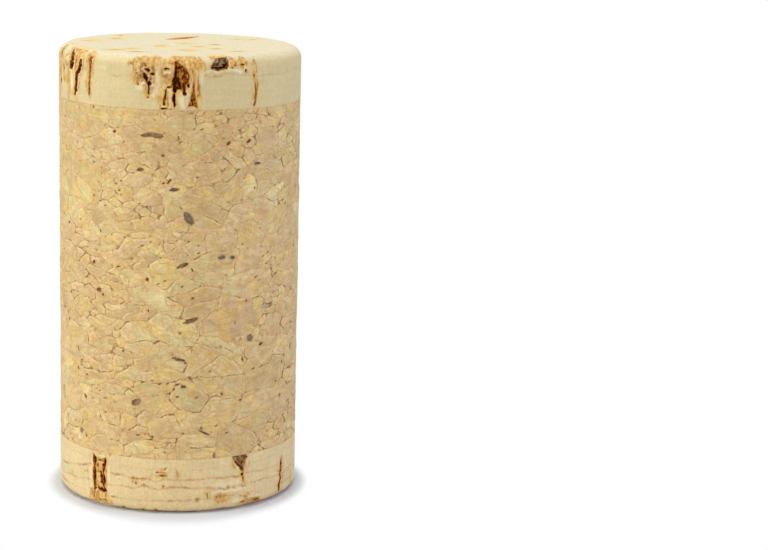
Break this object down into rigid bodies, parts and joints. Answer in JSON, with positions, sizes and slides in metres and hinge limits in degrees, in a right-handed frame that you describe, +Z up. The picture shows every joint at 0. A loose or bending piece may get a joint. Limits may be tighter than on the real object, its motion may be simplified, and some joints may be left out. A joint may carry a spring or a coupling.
{
  "type": "wine cork",
  "caption": "Cylindrical wine stopper moulded from cork granules, with a disc of natural cork glued on each end.",
  "frame": {"origin": "middle of the lower disc's free face, on the surface that the cork stands on", "axes": "+Z up along the cork's axis, -Y towards the side with the open lenticels"},
  "size_m": [0.0234, 0.0234, 0.044],
  "materials": {
    "agglomerated_cork": "matte, sanded granules with thin brown seams",
    "natural_cork": "matte, fine grain with brown lenticels and faint growth rings"
  },
  "bodies": {
    "root": {"agglomerated_body": "agglomerated_cork", "upper_disc": "natural_cork", "lower_disc": "natural_cork"}
  },
  "joints": []
}
